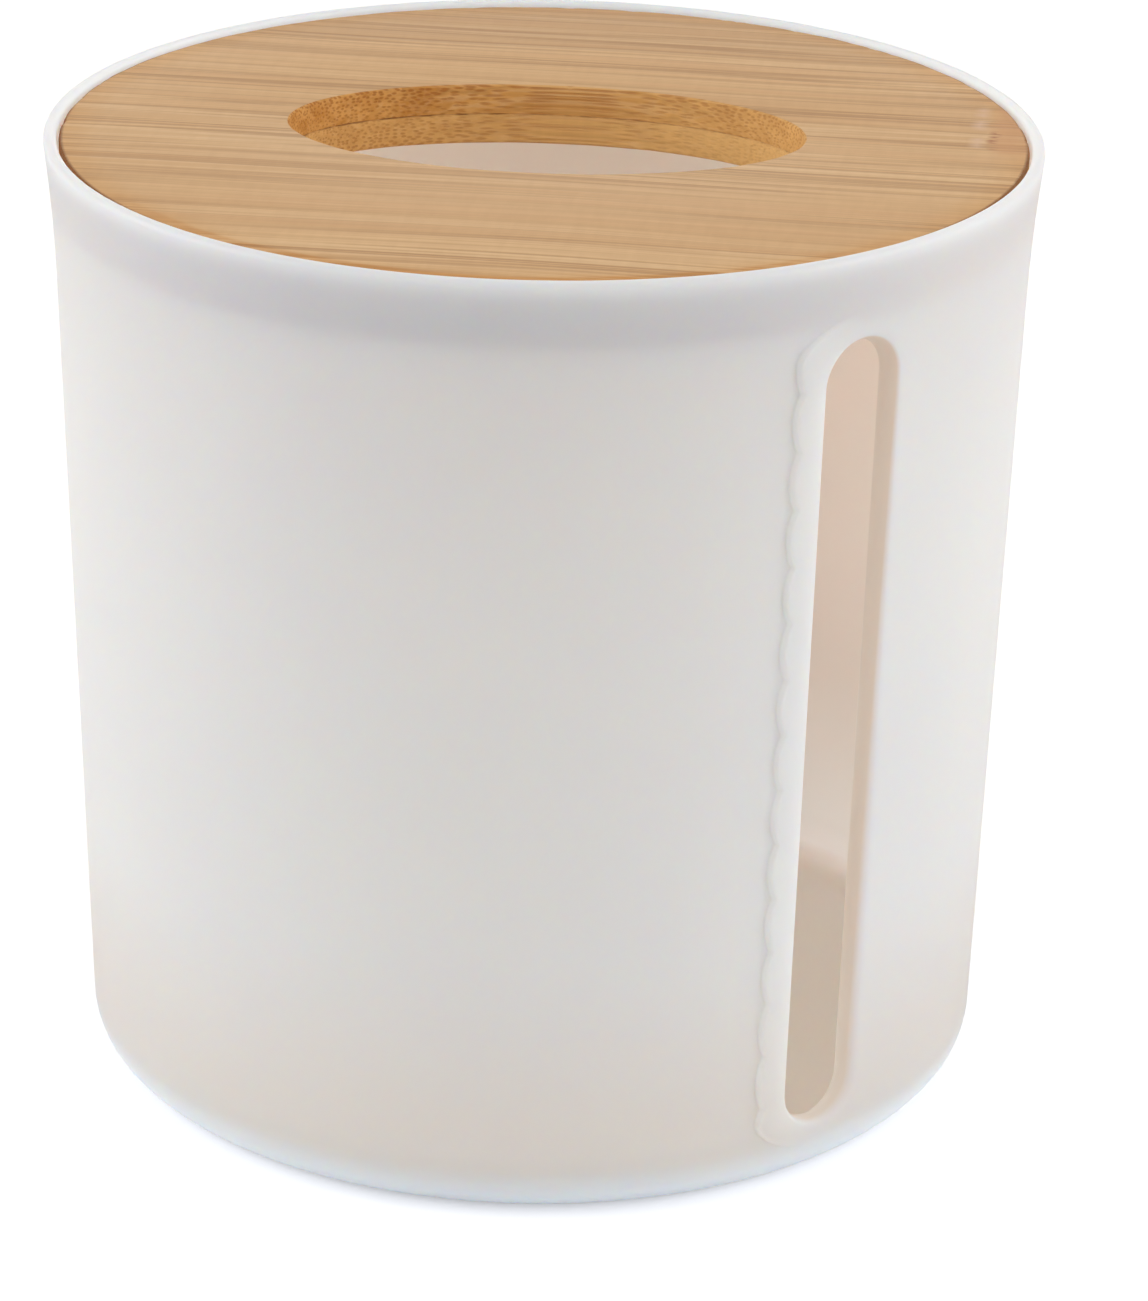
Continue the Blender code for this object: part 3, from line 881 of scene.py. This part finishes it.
def bamboo(name, lighter_up):
    """Bamboo board with its grain along the lid: solid fibres that show as lines, dashes or dots by the cut.

    lighter_up tells on which side of the board its pith lies, where the fibre bundles are sparse and pale.
    """
    g = Graph(name)
    grain = g.move(g.place, (1.0, 1.0, 1.0), -GRAIN_TURN)
    sway = g.noise(g.move(grain, (12.0, 9.0, 9.0)), 1.0, 1.0)
    along, across, up = g.node("ShaderNodeSeparateXYZ", {0: grain}).outputs
    across = g.math("ADD", across, g.math("MULTIPLY", g.math("SUBTRACT", sway, 0.5), GRAIN_SWAY))

    def fibre_place(along_scale, across_scale):
        inputs = {0: g.math("MULTIPLY", along, along_scale), 1: g.math("MULTIPLY", across, across_scale),
                  2: g.math("MULTIPLY", up, across_scale)}
        return g.node("ShaderNodeCombineXYZ", inputs).outputs[0]

    tone = g.noise(fibre_place(4.0, 60.0), 1.0, 1.0)
    bands = g.noise(fibre_place(6.0, 420.0), 1.0, 3.0, 0.6)
    lines = g.noise(fibre_place(5.0, 340.0), 1.0, 2.0, 0.55)
    line_places = g.noise(fibre_place(9.0, 170.0), 1.0, 1.0)
    fine = g.noise(fibre_place(26.0, 2600.0), 1.0, 2.0, 0.6)
    mottles = g.noise(fibre_place(700.0, 160.0), 1.0, 2.0)
    bundle_sway = g.noise(fibre_place(40.0, 90.0), 1.0, 1.0)
    bundle_inputs = {0: g.math("MULTIPLY_ADD", bundle_sway, BUNDLE_SWAY_ACROSS, across),
                     1: g.math("MULTIPLY_ADD", bundle_sway, BUNDLE_SWAY_UP, up)}
    bundle_place = g.node("ShaderNodeCombineXYZ", bundle_inputs).outputs[0]
    bundles = g.cells(bundle_place, BUNDLE_CELLS, BUNDLE_RANDOMNESS, "2D").outputs["Distance"]

    # Where the board is cut through its face, at the rim, the opening and their eased edges, it is golden.
    # cut_across tells how squarely the surface cuts the fibres
    outward = g.tree.nodes["Texture Coordinate"].outputs["Normal"]
    turned = g.math("ABSOLUTE", g.node("ShaderNodeSeparateXYZ", {0: outward}).outputs[2])
    grain_way = (math.cos(GRAIN_TURN), math.sin(GRAIN_TURN), 0.0)
    facing = g.node("ShaderNodeVectorMath", {0: outward, 1: grain_way}, operation="DOT_PRODUCT")
    cut_across = g.math("ABSOLUTE", facing.outputs["Value"])
    edge_share = g.span(turned, *FACE_LEVEL, 1.0, 0.0)
    near_rim = g.span(g.math("ADD", g.from_axis(), g.math("MULTIPLY", bands, RIM_BAND_SWAY)), *NEAR_RIM)

    face = g.mix(g.span(g.math("MULTIPLY_ADD", tone, 0.6, bands), 0.56, 1.04), BAMBOO_LIGHT, BAMBOO_BROWN)
    face = g.mix(g.math("MULTIPLY", near_rim, 0.45), face, BAMBOO_EDGE_LIGHT)
    edge = g.mix(g.span(bands, 0.4, 0.6), BAMBOO_EDGE_LIGHT, BAMBOO_EDGE_BROWN)
    least_pale = PALE_WALL_LOWER_BOARD if lighter_up else 0.0
    most_pale = least_pale + PALE_WALL_GAIN
    pale_share = g.span(along, -PALE_WALL_ALONG, PALE_WALL_ALONG, least_pale, most_pale)
    edge = g.mix(pale_share, edge, BAMBOO_EDGE_PALE)
    colour = g.mix(edge_share, face, edge)

    # Orange band at the front of the rim, and painted shade of the lid-to-cup gap as a dark outer line
    rough_radius = g.math("MULTIPLY_ADD", bands, FRONT_BAND_SWAY, g.from_axis())
    at_front = g.span(across, *FRONT_BAND_ACROSS, 1.0, 0.0)
    front_band = g.math("MULTIPLY", g.span(rough_radius, *FRONT_BAND), at_front)
    colour = g.mix(g.math("MULTIPLY", front_band, 0.8), colour, BAMBOO_EDGE_BROWN)
    painted_gap_shade = g.math("MULTIPLY", g.span(g.from_axis(), *RIM_GAP_SHADE_RADII), g.span(up, *RIM_GAP_SHADE_HEIGHTS))
    colour = g.mix(g.math("MULTIPLY", painted_gap_shade, 0.8), colour, BAMBOO_GAP_SHADE)

    # Brown lines with paler ones beside them, and finer fibres between. Where the fibres are cut across, they
    # end in dots and no line shows
    with_grain = g.span(cut_across, *LINES_END, 1.0, 0.0)
    shown = g.math("MULTIPLY", g.span(line_places, 0.34, 0.62, 0.2, 1.0), with_grain)
    dark_line = g.math("MULTIPLY", g.ridge(lines, 0.50, 0.06), shown)
    pale_line = g.math("MULTIPLY", g.ridge(lines, 0.595, 0.045), shown)
    colour = g.mix(g.math("MULTIPLY", dark_line, 0.58), colour, BAMBOO_LINE)
    colour = g.mix(g.math("MULTIPLY", pale_line, 0.40), colour, BAMBOO_PALE)
    red_line = g.math("MULTIPLY", g.ridge(lines, 0.41, 0.04), with_grain)
    colour = g.mix(g.math("MULTIPLY", red_line, 0.3), colour, BAMBOO_RED)
    colour = g.mix(g.span(fine, 0.25, 0.5, 0.16, 0.0), colour, BAMBOO_LINE)
    colour = g.mix(g.span(fine, 0.5, 0.8, 0.0, 0.2), colour, BAMBOO_PALE)
    colour = g.mix(g.span(mottles, 0.35, 0.65, 0.0, 0.07), colour, BAMBOO_LINE)

    # The joint to a browner strip
    colour = g.mix(g.span(across, STRIP_JOINT, STRIP_JOINT + 0.0005, 0.0, 0.22), colour, BAMBOO_LINE)
    colour = g.mix(g.math("MULTIPLY", g.ridge(across, STRIP_JOINT, 0.0006), 0.3), colour, BAMBOO_LINE)

    # The culm's node, which crosses one strip as a band: pale, then dark marks, then brown
    wobble = g.noise(fibre_place(30.0, 230.0), 1.0, 2.0)
    past_node = g.math("ADD", along, g.math("MULTIPLY", wobble, NODE_WOBBLE))
    past_node = g.math("SUBTRACT", past_node, NODE_ALONG + NODE_WOBBLE / 2)
    in_strip = g.ridge(across, NODE_ACROSS, NODE_HALF_WIDTH)
    in_strip = g.math("MULTIPLY", g.span(in_strip, 0.0, 0.25), g.span(up, LID_GLUE_LINE, LID_TOP))
    brown = g.math("MULTIPLY", g.span(past_node, -0.0004, 0.0014), g.span(past_node, 0.003, 0.0075, 1.0, 0.0))
    colour = g.mix(g.math("MULTIPLY", g.math("MULTIPLY", brown, in_strip), 0.6), colour, BAMBOO_NODE_BROWN)
    pale = g.math("MULTIPLY", g.ridge(past_node, -0.0014, 0.0014), g.span(wobble, 0.45, 0.6))
    colour = g.mix(g.math("MULTIPLY", g.math("MULTIPLY", pale, in_strip), 0.5), colour, BAMBOO_NODE_PALE)
    mark_places = g.noise(fibre_place(500.0, 1300.0), 1.0, 1.0)
    marks = g.math("MULTIPLY", g.ridge(past_node, 0.0004, 0.0010), g.span(mark_places, 0.46, 0.56))
    among_marks = g.span(g.ridge(across, NODE_MARKS_ACROSS, NODE_MARKS_HALF_WIDTH), 0.0, 0.3)
    marks = g.math("MULTIPLY", marks, among_marks)
    colour = g.mix(g.math("MULTIPLY", g.math("MULTIPLY", marks, in_strip), 0.75), colour, BAMBOO_NODE_MARK)

    # Fibre bundles, dense towards the culm's skin, and the glue line between the boards
    if lighter_up:
        dense = g.math("SUBTRACT", 1.0, g.span(up, LID_BOTTOM, LID_GLUE_LINE))
    else:
        dense = g.span(up, LID_GLUE_LINE, LID_TOP)
    dot_size = g.math("MULTIPLY_ADD", dense, 0.10, 0.26)
    dot = g.span(g.math("SUBTRACT", bundles, dot_size), -0.14, 0.10, 1.0, 0.0)
    dot_strength = g.math("MULTIPLY_ADD", edge_share, 0.62, 0.05)
    dot_strength = g.math("MULTIPLY", dot_strength, g.math("SUBTRACT", 1.0, pale_share))
    dot_strength = g.math("MULTIPLY", dot_strength, g.math("MULTIPLY_ADD", dense, 0.5, 0.5))
    colour = g.mix(g.math("MULTIPLY", dot, dot_strength), colour, BAMBOO_FIBRE)
    glue = g.ridge(up, LID_GLUE_LINE, GLUE_HALF_WIDTH)
    glue = g.math("MULTIPLY", glue, g.span(along, -0.012, 0.014, 1.0, 0.25))
    glue = g.math("MULTIPLY", glue, g.span(g.noise(g.place, 420.0, 1.0), 0.42, 0.56, 0.1, 0.8))
    colour = g.mix(glue, colour, BAMBOO_GLUE)
    g.put(g.shader, "Base Color", colour)

    roughness = g.math("ADD", g.span(fine, 0.2, 0.8, *BAMBOO_ROUGHNESS), g.math("MULTIPLY", edge_share, 0.12))
    g.put(g.shader, "Roughness", roughness)
    g.put(g.shader, "Specular IOR Level", BAMBOO_SPECULAR)
    normal = g.bump(fine, FIBRE_DEPTH)
    normal = g.bump(dark_line, LINE_DEPTH, 1.0, normal)
    normal = g.bump(dot, g.math("MULTIPLY", edge_share, BUNDLE_DEPTH), 1.0, normal)
    g.put(g.shader, "Normal", normal)
    return g.material


def pale_floor():
    """Floor that takes the object's shadow and is near white in the picture and in reflections."""
    g = Graph("floor_surface")
    tone = g.noise(g.place, 2.5, 2.0)
    g.put(g.shader, "Base Color", g.mix(tone, FLOOR_COLOUR, FLOOR_COLOUR_2))
    g.put(g.shader, "Roughness", 0.9)
    g.put(g.shader, "Specular IOR Level", 0.1)
    g.put(g.shader, "Emission Color", (1.0, 1.0, 1.0, 1.0))
    glow = g.span(g.from_axis(), GLOW_NEAR, GLOW_AWAY, FLOOR_GLOW, FLOOR_GLOW_AWAY)
    g.put(g.shader, "Emission Strength", g.math("MULTIPLY", seen_rays(g), glow))
    return g.material


def seen_rays(g):
    """1 for rays that the camera, a mirror or a glass sees, and 0 for those that light the object."""
    path = g.node("ShaderNodeLightPath", {})
    seen = g.math("MAXIMUM", path.outputs["Is Camera Ray"], path.outputs["Is Glossy Ray"])
    clear = g.math("SUBTRACT", path.outputs["Is Transmission Ray"], path.outputs["Is Diffuse Ray"])
    return g.math("MAXIMUM", seen, clear)


# Stage

def make_floor():
    corners = [(-FLOOR_HALF, -FLOOR_HALF, 0.0), (FLOOR_HALF, -FLOOR_HALF, 0.0),
               (FLOOR_HALF, FLOOR_HALF, 0.0), (-FLOOR_HALF, FLOOR_HALF, 0.0)]
    skin = Skin()
    skin.faces.append(tuple(skin.add(corners)))
    floor = skin.build("floor")
    floor.data.materials.append(pale_floor())


def make_world():
    world = bpy.data.worlds.new("studio")
    world.use_nodes = True
    tree = world.node_tree
    background = tree.nodes["Background"]
    background.inputs["Color"].default_value = (1.0, 1.0, 1.0, 1.0)
    path = tree.nodes.new("ShaderNodeLightPath")
    clear = tree.nodes.new("ShaderNodeMath")
    clear.operation = "SUBTRACT"
    tree.links.new(path.outputs["Is Transmission Ray"], clear.inputs[0])
    tree.links.new(path.outputs["Is Diffuse Ray"], clear.inputs[1])
    seen = tree.nodes.new("ShaderNodeMath")
    seen.operation = "MAXIMUM"
    tree.links.new(path.outputs["Is Camera Ray"], seen.inputs[0])
    tree.links.new(path.outputs["Is Glossy Ray"], seen.inputs[1])
    seen_or_clear = tree.nodes.new("ShaderNodeMath")
    seen_or_clear.operation = "MAXIMUM"
    tree.links.new(seen.outputs[0], seen_or_clear.inputs[0])
    tree.links.new(clear.outputs[0], seen_or_clear.inputs[1])
    strength = tree.nodes.new("ShaderNodeMapRange")
    tree.links.new(seen_or_clear.outputs[0], strength.inputs["Value"])
    strength.inputs["To Min"].default_value = WORLD_LIGHT
    strength.inputs["To Max"].default_value = 1.0
    tree.links.new(strength.outputs[0], background.inputs["Strength"])
    bpy.context.scene.world = world


def soft_box(name, azimuth, elevation, distance, width, height, radiance):
    """Area light that faces the object. The azimuth is counted from the camera's, to the right."""
    turn = CAMERA_TURN + math.radians(azimuth)
    rise = math.radians(elevation)
    middle = Vector((0.0, 0.0, HEIGHT / 2))
    towards = Vector((math.sin(turn) * math.cos(rise), -math.cos(turn) * math.cos(rise), math.sin(rise)))
    light = bpy.data.lights.new(name, "AREA")
    light.shape = "RECTANGLE"
    light.size = width
    light.size_y = height
    light.energy = radiance * math.pi * width * height
    item = bpy.data.objects.new(name, light)
    item.location = middle + towards * distance
    item.rotation_euler = towards.to_track_quat("Z", "Y").to_euler()
    bpy.context.scene.collection.objects.link(item)


def make_lights():
    for name, values in SOFT_BOXES.items():
        soft_box(name, *values)


def make_camera():
    """The photograph's camera: eye, look, roll, focal length and a small shift of the frame."""
    cos_pitch, sin_pitch = math.cos(CAMERA_PITCH), math.sin(CAMERA_PITCH)
    forward = Vector((math.sin(CAMERA_YAW) * cos_pitch, math.cos(CAMERA_YAW) * cos_pitch, -sin_pitch))
    level_right = Vector((math.cos(CAMERA_YAW), -math.sin(CAMERA_YAW), 0.0))
    level_up = level_right.cross(forward)
    right = level_right * math.cos(CAMERA_ROLL) + level_up * math.sin(CAMERA_ROLL)
    up = level_up * math.cos(CAMERA_ROLL) - level_right * math.sin(CAMERA_ROLL)
    place = Matrix.Translation((0.0, -CAMERA_DISTANCE, CAMERA_HEIGHT))
    axes = Matrix((right, up, -forward)).transposed().to_4x4()
    camera = bpy.data.cameras.new("camera")
    camera.sensor_width = SENSOR
    camera.lens = FOCAL_PIXELS * SENSOR / PHOTO_HEIGHT
    camera.shift_x = -CENTRE_RIGHT_PIXELS / PHOTO_HEIGHT
    camera.shift_y = CENTRE_DOWN_PIXELS / PHOTO_HEIGHT
    camera.clip_end = 2 * FLOOR_HALF
    item = bpy.data.objects.new("camera", camera)
    item.matrix_world = Matrix.Rotation(CAMERA_TURN, 4, "Z") @ place @ axes
    bpy.context.scene.collection.objects.link(item)
    bpy.context.scene.camera = item


def dress(piece, body, node, finish):
    piece.data.materials.append(finish)
    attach(piece, body)
    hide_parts(node)


dress(make_body(), "canister", "canister_body", white_plastic())
upper = make_ply("lid_upper_board", LID_TOP, LID_GLUE_LINE + LID_GLUE_GAP / 2, 11)
dress(upper, "lid", "lid_top_ply", bamboo("bamboo_upper_surface", False))
lower = make_ply("lid_lower_board", LID_BOTTOM, LID_GLUE_LINE - LID_GLUE_GAP / 2, 12)
dress(lower, "lid", "lid_bottom_ply", bamboo("bamboo_lower_surface", True))
make_floor()
make_world()
make_lights()
make_camera()
bpy.context.scene.view_settings.view_transform = "Standard"
